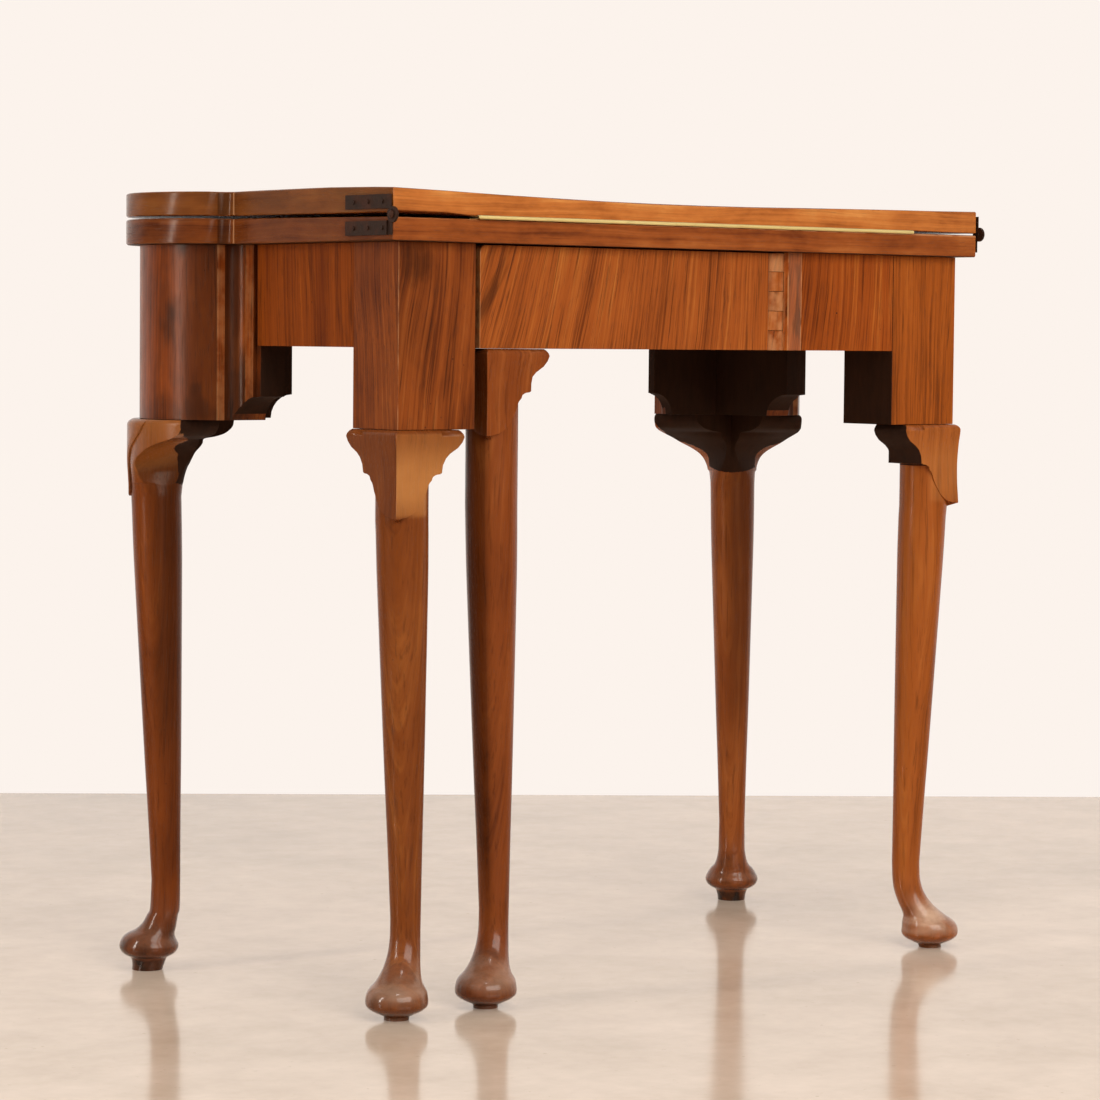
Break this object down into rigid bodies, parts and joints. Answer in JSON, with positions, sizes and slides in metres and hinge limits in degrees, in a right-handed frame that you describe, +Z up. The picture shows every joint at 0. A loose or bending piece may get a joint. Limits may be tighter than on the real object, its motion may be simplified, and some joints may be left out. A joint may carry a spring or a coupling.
{
  "type": "games table",
  "caption": "Folding-top games table with turreted front corners, cabriole legs on pad feet, a fly leg on a wooden knuckle hinge and a baize-lined playing face.",
  "frame": {"origin": "on the floor under the middle of the closed table's outer box", "axes": "+Z up, +Y towards the back, where the leaf folds over and the fly leg swings out, +X towards the free end of the fly rail (left as seen from the back)"},
  "size_m": [0.8188, 0.425, 0.735],
  "materials": {
    "walnut": "polished walnut veneer and solid",
    "walnut_back": "polished walnut veneer, redder at the back",
    "walnut_edge": "polished walnut, long grain",
    "inside_wood": "bare dark secondary wood",
    "baize": "woven baize",
    "brass": "dull rolled brass",
    "iron": "dark wrought iron"
  },
  "bodies": {
    "frame": {"back_post_left": "walnut_back", "back_post_right": "walnut_back", "ear_back_left": "walnut", "ear_back_right": "walnut", "ear_side_left": "walnut", "ear_side_right": "walnut", "fixed_back_rail": "walnut_back", "front_rail": "walnut", "glue_block_back_left": "inside_wood", "glue_block_back_right": "inside_wood", "glue_block_front_left": "inside_wood", "glue_block_front_right": "inside_wood", "inner_back_rail": "inside_wood", "iron_lower_left": "iron", "iron_lower_right": "iron", "knuckle_pin": "iron", "leg_back_left": "walnut", "leg_back_right": "walnut", "leg_front_left": "walnut", "leg_front_right": "walnut", "lower_baize": "baize", "lower_leaf": "walnut_edge", "piano_hinge_lower": "brass", "rivet_left": "iron", "rivet_right": "iron", "side_rail_left": "walnut", "side_rail_right": "walnut", "turret_left": "walnut", "turret_right": "walnut"},
    "folding_leaf": {"upper_leaf": "walnut_edge", "upper_baize": "baize", "iron_upper_left": "iron", "iron_upper_right": "iron", "piano_hinge_upper": "brass"},
    "fly_gate": {"fly_rail": "walnut_back", "leg_fly": "walnut", "ear_fly": "walnut"}
  },
  "joints": [
    {"name": "leaf_fold", "type": "hinge", "parent": "frame", "child": "folding_leaf", "pos_m": [0, 0.20555, 0.71255], "axis": [-1, 0, 0], "range_deg": [0, 180]},
    {"name": "gate_swing", "type": "hinge", "parent": "frame", "child": "fly_gate", "pos_m": [-0.1065, 0.17805, 0.5966], "axis": [0, 0, 1], "range_deg": [0, 90]}
  ]
}
